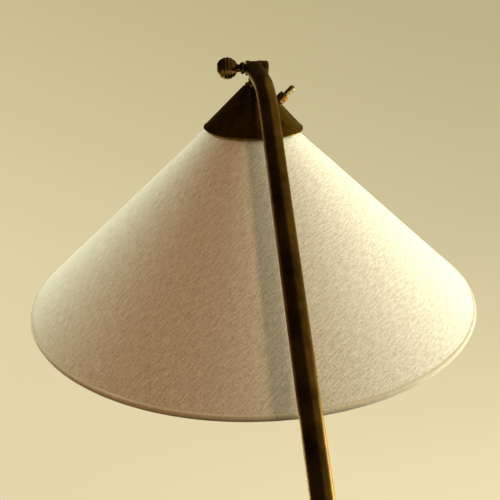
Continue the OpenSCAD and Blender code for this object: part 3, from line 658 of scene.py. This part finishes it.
@dataclass(frozen=True)
class Stem:
    """The bent tube, one piece from the foot to the fork."""

    outer: float = 16.0
    wall: float = 1.2
    ease: float = 0.3
    foot_z: float = 31.35
    upright: float = 496.456
    low_r: float = 600.0
    lean: float = 20.0
    lean_len: float = 620.0
    top_r: float = 70.0
    top_bend: float = 35.0
    nose: float = 40.0

    def line(self) -> tuple[Array, Array, Array]:
        """Return the centre line: length along it, its points, and its heading in radians.

        The heading grows by s/R along each bend and stays along each straight. The points are
        the running sum of (0, sin, cos) of the heading.
        """
        lean, top_bend = radians(self.lean), radians(self.top_bend)
        s1 = self.upright
        s2 = s1 + self.low_r*lean
        s3 = s2 + self.lean_len
        s4 = s3 + self.top_r*top_bend
        s = np.unique(np.concatenate([np.linspace(0, s4 + self.nose, 9001), [s1, s2, s3, s4]]))
        heading = (np.clip((s - s1)/self.low_r, 0, lean)
                   + np.clip((s - s3)/self.top_r, 0, top_bend))
        step, middle = np.diff(s), (heading[1:] + heading[:-1])/2
        y, z = (np.concatenate([[0], np.cumsum(way(middle)*step)]) for way in (np.sin, np.cos))
        return s, np.stack([0*s, y, z + self.foot_z], 1), heading

    def tube(self) -> Skin:
        """Return the tube's skin: a circle carried along the centre line and back down its bore.

        A point is the line's point plus r cos a along X plus r sin a along the line's normal.
        The pattern's u is the length along the tube, its v the arc round it.
        """
        s, points, heading = self.line()
        end = s[-1]
        stops = np.unique(np.concatenate([
            np.linspace(0, end, 90), np.linspace(self.upright, self.upright + 210, 50),
            np.linspace(end - self.nose - 44, end - self.nose, 40), [0.4, end - 0.4]]))
        r_out, r_in = self.outer/2, self.outer/2 - self.wall
        radius = np.full(len(stops), r_out)
        radius[[0, -1]] = r_out - self.ease
        radius = np.append(radius, np.full(len(stops), r_in))
        along = np.append(stops, stops[::-1])
        line = np.stack([np.interp(along, s, points[:, k]) for k in range(3)], 1)
        aim = np.interp(along, s, heading)
        a = np.linspace(0, 2*pi, 72, endpoint=False)[None, :, None]
        normal = np.stack([0*aim, np.cos(aim), -np.sin(aim)], 1)[:, None]
        rows = line[:, None] + radius[:, None, None]*(np.cos(a)*np.array([1.0, 0, 0])
                                                      + np.sin(a)*normal)
        uv = np.stack(np.meshgrid(np.append(along, along[0])*MM,
                                  np.linspace(0, 2*pi*r_out*MM, 73), indexing="ij"), -1)
        return skin(place(rows, np.eye(4)), uv, looped=True)

    def build(self) -> None:
        """Make the tube."""
        make("stem_tube", [self.tube()], "stand", ["stem"], TUBE_BRASS)


# --- Knuckle -----------------------------------------------------------------------------

@dataclass(frozen=True)
class Knuckle:
    """The clamped joint: fork, round nut, bead and grooved knob."""

    cheek_x: float = 7.5
    gap: float = 0.05
    screw_d: float = 5.0
    nut_d: float = 13.0
    nut_t: float = 6.0
    dome: float = 2.0
    bead_d: float = 11.0
    bead_len: float = 6.0
    knob_d: float = 20.0
    knob_len: float = 20.3
    neck_d: float = 7.2
    grooves: int = 4
    pitch: float = 3.1
    # The solid's grooves are 0.6 mm deep. At 0.4 mm they notch the knob's outline less.
    groove_depth: float = 0.4

    def hole(self) -> float:
        """Return the radius of the holes that the screw runs through."""
        return self.screw_d/2 + self.gap

    def round_nut(self) -> Piece:
        """Return the round nut on the fork's right cheek: a cylinder with a domed end."""
        r, t, hole = self.nut_d/2, self.nut_t, self.hole()
        a = np.linspace(0, pi/2, 9)
        dome = np.stack([r - self.dome*(1 - np.cos(a)), t - self.dome*(1 - np.sin(a))], 1)
        side = eased([(0, t - 1), (hole, t - 1), (hole, 0), (r, 0), tuple(dome[0])], 0.3, False)
        outline = np.vstack([side, dome[1:], [[0, t + 0.001]]])
        at = STANCE.pin_right(self.cheek_x + self.gap)
        return make("round_nut", [turned(outline, at, False)], "stand", ["end_nut"],
                    TURNED_BRASS)

    def bead(self) -> Piece:
        """Return the bead between fork and knob: a ball cut flat at both ends, bored through."""
        a, hole = np.radians(np.linspace(-60, 60, 15)), self.hole()
        outline = np.stack([self.bead_d/2*np.cos(a), self.bead_len/2*(1 + np.sin(a)/sin(pi/3))],
                           1)
        outline = np.vstack([outline, [[hole, self.bead_len], [hole, 0]]])
        at = STANCE.pin_left(self.cheek_x + self.gap)
        return make("bead", [turned(outline, at)], "clamp", ["clamp_bead"],
                    TURNED_BRASS, 50)

    def knob(self) -> Piece:
        """Return the knob: a ball on a short neck, with grooves turned round it.

        The radius at height z is sqrt(R^2 - (z - middle)^2) less a groove of
        depth (1 + cos(2 pi (z - first)/pitch))/2, and never under the neck's.
        """
        full, top, hole = self.knob_d/2, self.knob_len, self.hole()
        middle = top - 0.91*full
        centre = middle - 0.45
        z = np.linspace(0, top - 0.3, 130)
        ball = np.sqrt(np.maximum(0, full**2 - (z - middle)**2))
        first = centre - (self.grooves - 1)/2*self.pitch
        cut = np.where(np.abs(z - centre) > self.grooves/2*self.pitch, 0,
                       self.groove_depth*(1 + np.cos(2*pi*(z - first)/self.pitch))/2)
        side = np.stack([np.maximum(self.neck_d/2, ball - cut), z], 1)
        edge = side[-1, 0]
        face = [[edge - 0.25, top - 0.06], [edge - 0.6, top], [2.6, top - 0.2], [1.2, top - 0.4],
                [0, top - 0.5]]
        outline = np.vstack([[[0, 3.1], [hole, 3.05], [hole, 0]], side, face])
        at = STANCE.pin_left(self.cheek_x + self.gap + self.bead_len + self.gap)
        return make("reeded_knob", [turned(outline, at, False)], "clamp", ["clamp_knob"],
                    KNOB_BRASS, 45)

    def build(self) -> None:
        """Make the knuckle's turned pieces."""
        self.round_nut()
        self.bead()
        self.knob()


# --- Cap and switch ----------------------------------------------------------------------

@dataclass(frozen=True)
class Cap:
    """The spun brass cone over the lampholder, its nuts, and the lever switch on its flank."""

    drop: float = 16.5
    top_d: float = 20.0
    rim_d: float = 95.0
    height: float = 38.5
    switch_r: float = 24.0
    switch_turn: float = 1.0
    bush_d: float = 10.0
    bush_h: float = 8.5
    thread_d: float = 8.0
    thread_len: float = 8.0
    thread_pitch: float = 1.0
    thread_depth: float = 0.25
    ball_d: float = 6.2
    mouth_d: float = 8.8
    pivot_h: float = 3.0
    lever_len: float = 17.0
    lever_d: float = 6.0
    lever_tilt: float = 8.0

    def flank(self) -> Array:
        """Return the switch's frame: its hole on the cap's outside, with +Z straight out."""
        slope = degrees(atan((self.rim_d - self.top_d)/2/self.height))
        drop = self.drop + (self.switch_r - self.top_d/2)/tan(radians(slope))
        return (STANCE.head() @ turn("Z", self.switch_turn) @ shift(self.switch_r, 0, -drop)
                @ turn("Y", 90 - slope))

    def collar(self) -> Piece:
        """Return the switch's collar: a sleeve, a groove near its mouth, and its thread."""
        r, top, bore = self.bush_d/2, self.bush_h + 0.05, self.ball_d/2 + 0.1
        thread_r, low = self.thread_d/2, -self.thread_len
        groove = [(r, top - 2.3), (r - 0.4, top - 2.1), (r - 0.4, top - 1.5), (r - 0.1, top - 1.3)]
        outline = eased([(bore, low), (thread_r, low), (thread_r, 0.05), (r - 0.2, 0.05),
                         (r, 0.4), *groove, (r - 0.1, top - 0.4), (self.mouth_d/2, top),
                         (bore, self.pivot_h + 1.2)], 0.25)
        thread = threaded(self.thread_depth, self.thread_pitch, low - 1, -1.2, 3.6)
        return make("switch_collar", [turned(outline, self.flank(), True, 320, thread)],
                    "shade_head", ["switch_bush"], SWITCH_BRASS, 40)

    def lever(self) -> Piece:
        """Return the lever: a pin, a pivot ball, and an arm that swells to a round tip.

        The arm's radius grows evenly from the ball to the tip, and the tip is half a ball.
        """
        ball, tip = self.ball_d/2, self.lever_d/2
        reach = self.lever_len - tip
        a, b = np.linspace(-1.14, 0.62, 14), np.linspace(0.08, pi/2, 12)
        low = ball*np.stack([np.cos(a), np.sin(a)], 1)
        z = np.linspace(low[-1, 1] + 0.4, reach, 10)
        arm = np.stack([tip - 0.6 + 0.6*z/reach - 0.12*np.sin(pi*z/reach), z], 1)
        end = np.stack([tip*np.cos(b), reach + tip*np.sin(b)], 1)
        outline = np.vstack([[[0, -5], [1.1, -5], [1.3, -4.8]], low, arm, end])
        at = self.flank() @ shift(0, 0, self.pivot_h) @ turn("X", self.lever_tilt)
        return make("lever_arm", [turned(outline, at, False, 64)], "lever", ["switch_lever"],
                    LEVER_BRASS, 60)

    def build(self) -> None:
        """Make the switch's shown pieces."""
        self.collar()
        self.lever()


# --- Lampholder and bulb -----------------------------------------------------------------

@dataclass(frozen=True)
class Lampholder:
    """The brass lampholder with its threaded skirt and rings, and the bulb in it."""

    wall: float = 1.5
    outer_d: float = 40.0
    shell_end: float = -66.0
    skirt_len: float = 27.0
    thread_pitch: float = 3.0
    thread_depth: float = 0.8
    core_r: float = 16.4
    ring_d: float = 52.0
    ring_t: float = 4.0
    ring_z: tuple[float, float] = (-76.0, -81.6)
    notches: int = 24
    bulb_d: float = 60.0
    bulb_len: float = 79.0
    cap_end: float = -94.5
    neck_r: float = 12.6
    glass_t: float = 0.8

    def skirt(self) -> Piece:
        """Return the skirt: a sleeve with a coarse thread outside."""
        out, top, bore = self.outer_d/2 - 0.5, self.shell_end, self.core_r + 0.05
        inner, low = self.outer_d/2 - self.wall - 0.05, top - self.skirt_len
        side = np.stack([np.full(110, out), np.linspace(top - 0.05, low + 0.3, 110)], 1)
        rest = eased([(out - 0.3, low), (out - self.wall, low), (out - self.wall, top - 3),
                      (bore, top - 3), (bore, top + 6), (inner, top + 6), (inner, top - 0.05)],
                     0.15)
        thread = threaded(self.thread_depth, self.thread_pitch, low + 0.8, top - 1.5, out - 0.01)
        shape = turned(np.vstack([side, rest]), STANCE.head(), True, 96, thread)
        return make("threaded_skirt", [shape], "shade_head", ["holder_skirt"],
                    HOLDER_BRASS, 60)

    def rings(self) -> Piece:
        """Return the two shade rings, with grip notches round the edge of each."""
        r, t, bore = self.ring_d/2, self.ring_t, self.outer_d/2 - 0.45
        outline = eased([(bore, 0), (r, 0), (r, t), (bore, t)], 0.6)

        def grip(rad: Array, a: Array, z: Array) -> Array:
            notch = 0.7*np.clip(np.cos(self.notches*a)*3 - 2, 0, 1)
            return np.where(rad > r - 1.2, rad - notch, rad)

        shapes = [turned(outline, STANCE.head() @ shift(0, 0, z), True, 288, grip)
                  for z in self.ring_z]
        return make("grip_rings", shapes, "shade_head", ["shade_rings"],
                    HOLDER_BRASS, 40)

    def bulb(self) -> Piece:
        """Return the bulb's glass: a ball that narrows by a smooth hollow into its neck."""
        r, neck_r, end_z = self.bulb_d/2, self.neck_r, self.cap_end
        middle = end_z - self.bulb_len + r
        a = np.radians(np.linspace(21, -90, 60))
        ball = np.stack([r*np.cos(a), middle + r*np.sin(a)], 1)
        t = np.linspace(0, 1, 20)[:, None]
        start, end = np.array([neck_r, end_z]), ball[0]
        pull = np.array([[neck_r + 0.5, end_z - 9], [end[0] - 3.2, end[1] + 8.0]])
        neck = (1 - t)**3*start + 3*t*(1 - t)**2*pull[0] + 3*t**2*(1 - t)*pull[1] + t**3*end
        face = np.vstack([[[neck_r, end_z + 3]], neck, ball[1:]])
        back = face - [self.glass_t, 0]
        back[1:, 1] += self.glass_t*np.clip((middle - back[1:, 1])/r, 0, 1)
        shell = np.vstack([face, back[::-1]])
        shell[:, 0] = np.maximum(shell[:, 0], 0.0)
        return make("bulb_ball", [turned(shell, STANCE.head(), True, 96)], "shade_head",
                    ["bulb_glass"], OPAL, 60)

    def build(self) -> None:
        """Make the lampholder's and the bulb's turned pieces."""
        self.skirt()
        self.rings()
        self.bulb()


# --- Shade -------------------------------------------------------------------------------

@dataclass(frozen=True)
class Shade:
    """The linen cone on its film, bound at both edges, on a wire carrier."""

    hem_d: float = 450.0
    top_d: float = 72.0
    height: float = 175.0
    cloth_t: float = 0.6
    gap: float = 0.05
    film_t: float = 0.4
    tape_w: float = 4.0
    tape_t: float = 0.5
    loose: float = 0.3
    top_wire_d: float = 3.2
    hem_wire_d: float = 3.5
    lap_at: float = 90.0
    lap_w: float = 9.0
    grain: float = 50.0
    rows: int = 40
    around: int = 360

    def half_angle(self) -> float:
        """Return the angle between the cone's side and its axis, in radians."""
        return atan((self.hem_d - self.top_d)/2/self.height)

    def slant(self) -> float:
        """Return the length of the cone's side."""
        return hypot((self.hem_d - self.top_d)/2, self.height)

    def axes(self) -> tuple[Array, Array]:
        """Return the cone's own directions as radius and height: out of its side and down it."""
        half = self.half_angle()
        return np.array([cos(half), sin(half)]), np.array([sin(half), -cos(half)])

    def wrapped(self, line: Array, lift: Array, reach: float, ramp: float) -> Array:
        """Carry a section round the shade's axis, and lift it over the linen's seam.

        Args:
            line: the section's radii and heights.
            lift: how far each of its points stands out at the seam.
            reach: how far to each side of the seam that is.
            ramp: the width over which it rises.
        """
        a = np.linspace(0, 2*pi, self.around, endpoint=False)
        arc = ((a + pi) % (2*pi) - pi)*line[:, :1]
        step = lift[:, None]*np.clip(0.5 + (reach - np.abs(arc))/ramp, 0, 1)
        a = a + radians(self.lap_at)
        out = self.axes()[0]
        r, z = line[:, :1] + step*out[0], line[:, 1:] + step*out[1]
        return place(np.stack([r*np.cos(a), r*np.sin(a), z], -1), STANCE.seat())

    def layer(self, near: float, far: float, lap: float) -> Skin:
        """Return one layer of the cone's wall.

        A point of it at share t down the side is at radius top + t (hem - top), moved in
        along the side's normal by the layer's depth. The pattern's place is the point of the
        flat ring sector: distance from the apex, turned by the angle round the cone times the
        sine of the half angle.

        Args:
            near, far: depths of its outer and inner faces behind the linen's face.
            lap: how far it stands out at its seam.
        """
        out, down = self.axes()
        t = np.linspace(0, self.slant(), self.rows)
        face = np.array([self.top_d/2, 0.0]) + t[:, None]*down
        depth = np.repeat([near, far], self.rows)[:, None]
        line = np.vstack([face, face[::-1]]) - depth*out
        points = self.wrapped(line, np.repeat([lap, 0.0], self.rows), self.lap_w/2, 0.6)
        share = sin(self.half_angle())
        rho = (self.top_d/2/share + np.concatenate([t, t[::-1], t[:1]]))[:, None]*MM
        swing = (np.linspace(-pi, pi, self.around + 1)*share + radians(self.grain))[None, :]
        return skin(points, np.stack([rho*np.cos(swing), rho*np.sin(swing)], -1), looped=True)

    def tape(self, hem: bool) -> Skin:
        """Return the hem's or the top edge's binding: a band that rolls over edge and wire.

        Across the band, its section is a strip that is thin up the cone and swells by a sine
        squared toward the edge. It goes on as a quarter of an ellipse that passes the linen's
        face level with the linen's edge, and ends under the wire.
        """
        out, down = self.axes()
        edge = np.array([self.hem_d/2, -self.height]) if hem else np.array([self.top_d/2, 0.0])
        way, wire = (1.0, self.hem_wire_d) if hem else (-1.0, self.top_wire_d)
        deep = -(self.cloth_t + self.gap + self.film_t) - wire
        thin, swell = self.gap + 0.1, 0.6
        reach, low = thin + swell - deep/2, self.loose + self.tape_t + 0.3
        fall = low/(1 - sin(acos((self.gap - deep/2)/reach)))
        middle, lip = low - fall, -self.tape_w
        rise = [(thin + swell*sin(pi/2*t)**2, lip + (middle - lip)*t)
                for t in np.linspace(0, 1, 9)[:-1]]
        roll = [(deep/2 + reach*cos(t), middle + fall*sin(t)) for t in np.linspace(0, pi/2, 12)]
        section = eased([(self.gap, lip), *rise, *roll, (deep, low), (deep, self.loose),
                         (self.gap, self.loose)], 0.24, steps=3)
        line = edge + section[:, :1]*out + way*section[:, 1:]*down
        points = self.wrapped(line, self.cloth_t*(section[:, 0] > 0), self.lap_w/2 + 0.8, 1.2)
        sides = np.linalg.norm(np.diff(section, axis=0, append=section[:1]), axis=1)
        uv = np.meshgrid(np.append(0, np.cumsum(sides))*MM,
                         np.linspace(0, 2*pi, self.around + 1)*edge[0]*MM, indexing="ij")
        return skin(points, np.stack(uv, -1), looped=True)

    def build(self) -> None:
        """Make the linen, its film and its bindings."""
        film = self.cloth_t + self.gap
        linen = make("linen_cone", [self.layer(0, self.cloth_t, self.cloth_t*0.9)],
                     "shade_head", ["shade_cloth"], LINEN, 80)
        make("film_lining", [self.layer(film, film + self.film_t, 0)], "shade_head",
             ["shade_liner"], FILM, 80)
        hem = make("hem_tape", [self.tape(True)], "shade_head", ["hem_binding"],
                   SHADED_TAPE, 80)
        top = make("top_tape", [self.tape(False)], "shade_head", ["top_binding"],
                   SHADED_TAPE, 80)


# --- Studio ------------------------------------------------------------------------------

@dataclass(frozen=True)
class Studio:
    """A pale floor, a cream room, windows to the right and far left, and a dark canopy."""

    eye: Triple = (-88.0, -611.2, -256.1)
    azimuth: float = 6.91
    pitch: float = 8.0
    roll: float = -3.52
    lens_px: float = 700.0
    frame_px: float = 500.0
    shade_middle: Triple = (0.0, 40.0, -130.0)
    reach: float = 2.2
    floor_r: float = 4.7

    def camera(self) -> None:
        """Set up the camera from the view direction and two directions rolled round it."""
        az, p, roll = radians(self.azimuth), radians(self.pitch), radians(self.roll)
        ahead = np.array([sin(az)*cos(p), cos(az)*cos(p), sin(p)])
        right = np.array([cos(az), -sin(az), 0])
        up = np.cross(right, ahead)
        axes = [right*cos(roll) + up*sin(roll), up*cos(roll) - right*sin(roll), -ahead]
        data = bpy.data.cameras.new("view")
        data.sensor_width = 36.0
        data.sensor_fit = "HORIZONTAL"
        data.lens = data.sensor_width*self.lens_px/self.frame_px
        data.clip_start, data.clip_end = 0.02, 100
        pose = np.eye(4)
        pose[:3] = np.column_stack([*axes, (np.array(STANCE.pin) + self.eye)*MM])
        seen = bpy.data.objects.new("view", data)
        seen.matrix_world = Matrix(pose.tolist())
        bpy.context.scene.collection.objects.link(seen)
        bpy.context.scene.camera = seen

    def room(self) -> None:
        """Light the world cream, a little darker up and to the sides as in the photograph."""
        world = bpy.data.worlds.new("cream room")
        bpy.context.scene.world = world
        nodes = Nodes(world)
        way = nodes.add("SeparateXYZ", {0: nodes.add("TexCoord").outputs["Generated"]}).outputs
        height = nodes.out("MapRange", {"Value": way[2], "From Min": -0.2, "From Max": 0.46})
        ramp = nodes.add("ValToRGB", {0: height})
        stops = ramp.color_ramp.elements
        stops.new(0.5)
        for stop, code in zip(stops, ("#ebdcb0", "#d8cba0", "#c3b68b")):
            stop.color = linear(code)
        across = nodes.out("MapRange", {"Value": way[0], "From Min": -0.21, "From Max": 0.43,
                                        "To Min": -1.0, "To Max": 1.0})
        swing = nodes.out("MapRange", {"Value": way[2], "From Min": -0.2, "From Max": 0.15,
                                       "To Min": 0.055, "To Max": -0.09})
        side = nodes.maths("MULTIPLY_ADD", across, swing, 1.0)
        glow = nodes.out("Background", {"Color": ramp.outputs[0], "Strength": side})
        nodes.add("OutputWorld", {0: glow})

    def lamp(self, name: str, spot: Triple, size: tuple[float, float], watts: float,
             colour: str, glossy: bool) -> None:
        """Hang one rectangular light that faces the shade's middle.

        Args:
            name: the light's name.
            spot: its place from the shade's middle, in metres.
            size: its width and height in metres.
            watts: its power.
            colour: its sRGB colour.
            glossy: whether metal shows it.
        """
        data = bpy.data.lights.new(name, "AREA")
        data.shape, data.size, data.size_y = "RECTANGLE", *size
        data.energy, data.color = watts, linear(colour)[:3]
        light = bpy.data.objects.new(name, data)
        middle = (np.array(STANCE.pin) + self.shade_middle)*MM
        there = Matrix.Translation(spot)
        aim = there.to_translation().to_track_quat("Z", "Y").to_matrix().to_4x4()
        light.matrix_world = Matrix.Translation(middle.tolist()) @ there @ aim
        light.visible_camera = False
        light.visible_glossy = glossy
        bpy.context.scene.collection.objects.link(light)

    def flat(self, name: str, paint_name: str, points: Array,
             faces: Sequence) -> tuple[Piece, Nodes]:
        """Return an object of the set, from points in metres, and the nodes of its paint."""
        mesh = bpy.data.meshes.new(name)
        mesh.from_pydata(points.tolist(), [], faces)
        paint = bpy.data.materials.new(paint_name)
        mesh.materials.append(paint)
        thing = bpy.data.objects.new(name, mesh)
        bpy.context.scene.collection.objects.link(thing)
        return thing, Nodes(paint)

    def canopy(self) -> None:
        """Hang a dark canopy behind and over the camera, which the brass shows as its dark core.

        It is two parts of a ball round the shade, each from one bearing to another and from one
        height to another, in degrees from the camera's side and from level.
        """
        wide, tall = 40, 24
        centre = np.array([0, 0.318, 1.25])
        i, j = (k.ravel() for k in np.meshgrid(np.arange(wide - 1), np.arange(tall - 1),
                                               indexing="ij"))
        first = i*tall + j
        points, faces = [], []
        for left, right, low, high in ((-126, 22, -34, 90), (148, 240, 28, 90)):
            a, e = np.meshgrid(np.radians(np.linspace(left, right, wide)),
                               np.radians(np.linspace(low, high, tall)), indexing="ij")
            start = first + wide*tall*len(points)
            faces.append(np.stack([start, start + tall, start + tall + 1, start + 1], -1))
            way = np.stack([np.cos(e)*np.sin(a), -np.cos(e)*np.cos(a), np.sin(e)], -1)
            points.append(centre + self.reach*way.reshape(-1, 3))
        cloth, nodes = self.flat("dark_canopy", "dark canopy cloth", np.vstack(points),
                                 np.vstack(faces).tolist())
        nodes.add("OutputMaterial", {0: nodes.out("BsdfDiffuse", {"Color": "#453d2d"})})
        cloth.visible_camera = False

    def floor(self) -> None:
        """Lay a pale round floor that ends before the photograph's view reaches it.

        The eye, metal and glass see it pale. It is dark to the light that it throws back, which
        would otherwise fill the hem's underside.
        """
        a = np.linspace(0, 2*pi, 97)[:-1]
        rim = self.floor_r*np.stack([np.cos(a), np.sin(a), 0*a], 1)
        ground, nodes = self.flat("floor", "pale floor", rim, [tuple(range(len(a)))])
        path = nodes.add("LightPath").outputs
        shown = nodes.maths("MAXIMUM", path["Is Camera Ray"], path["Is Glossy Ray"])
        shown = nodes.maths("MAXIMUM", shown, path["Is Transmission Ray"])
        tone = nodes.mixed(shown, "#40392b", "#e6d9b8")
        matt = nodes.out("BsdfPrincipled", {"Base Color": tone, "Roughness": 0.8})
        nodes.add("OutputMaterial", {0: matt})

    def build(self) -> None:
        """Set up the camera, the room, the floor, the canopy and the lights."""
        self.camera()
        self.room()
        self.floor()
        self.canopy()
        for name, spot, size, watts, colour, glossy in (
                ("window", (1.630, -0.388, 0.295), (1.0, 1.4), 38.5, "#f6fff4", False),
                ("window edge", (1.663, 0.198, 0.295), (1.0, 1.4), 33, "#f6fff4", False),
                ("low window", (1.592, 0.481, -0.353), (0.9, 0.6), 26, "#fff8ec", True),
                ("left window", (-1.015, 0.953, 0.975), (1.0, 1.2), 61, "#e8fff3", False),
                ("far left wall", (-0.841, 1.469, -0.148), (0.5, 1.4), 12, "#ffffff", True),
                ("left fill", (-1.572, -0.629, 0.148), (0.8, 0.8), 6, "#ffae5c", False),
                ("front light", (0.106, -1.594, 0.581), (0.1, 0.1), 7.4, "#ffd5bb", False)):
            self.lamp(name, spot, size, watts, colour, glossy)
        bpy.context.scene.view_settings.view_transform = "Standard"


def main() -> None:
    """Build every sub-assembly and the studio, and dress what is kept."""
    logging.basicConfig(level=logging.INFO, format="%(name)s: %(message)s")
    for assembly in (Foot(), Stem(), Knuckle(), Cap(), Lampholder(), Shade(), Studio()):
        assembly.build()
        log.info("%s done", type(assembly).__name__)
    for finish, names in KEPT:
        for name in names:
            dress(name, finish)


if __name__ == "__main__":
    main()
